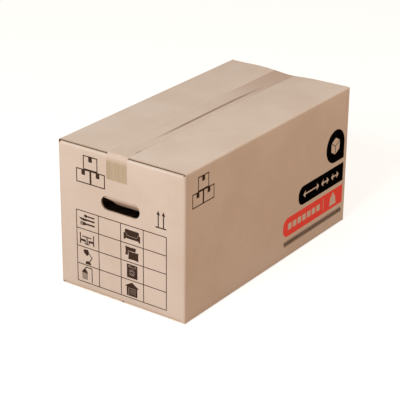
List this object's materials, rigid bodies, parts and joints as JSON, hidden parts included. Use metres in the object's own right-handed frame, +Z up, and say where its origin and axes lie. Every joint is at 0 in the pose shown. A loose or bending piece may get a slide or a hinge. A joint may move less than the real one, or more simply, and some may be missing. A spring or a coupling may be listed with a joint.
{
  "type": "corrugated moving box",
  "caption": "Long corrugated carton, closed and taped, with a hand hole in each end and a printed contents grid.",
  "frame": {"origin": "on the floor under the middle of the box", "axes": "+Z up, +Y along the length; the end with the contents grid faces -Y, the printed long side faces +X"},
  "size_m": [0.3081, 0.6082, 0.3168],
  "materials": {
    "board": "plain kraft liner, matt",
    "tape": "tan packing tape, glossy",
    "brown_ink": "water-based ink on board, matt",
    "black_ink": "water-based ink on board, matt",
    "red_ink": "water-based ink on board, matt"
  },
  "bodies": {
    "root": {"carton": "board", "top_tape": "tape", "bottom_tape": "tape", "contents_grid": "brown_ink", "up_arrows": "brown_ink", "carton_stack_end_print": "brown_ink", "spoon_print": "brown_ink", "knife_print": "brown_ink", "fork_print": "brown_ink", "table_print": "brown_ink", "left_chair_print": "brown_ink", "right_chair_print": "brown_ink", "desk_lamp_print": "brown_ink", "shower_print": "brown_ink", "sofa_print": "brown_ink", "rear_cushion_print": "brown_ink", "front_cushion_print": "brown_ink", "washing_machine_print": "brown_ink", "house_print": "brown_ink", "carton_stack_side_print": "brown_ink", "volume_badge": "black_ink", "size_bar": "black_ink", "load_bar": "red_ink", "hatch_strip": "brown_ink"}
  },
  "joints": []
}
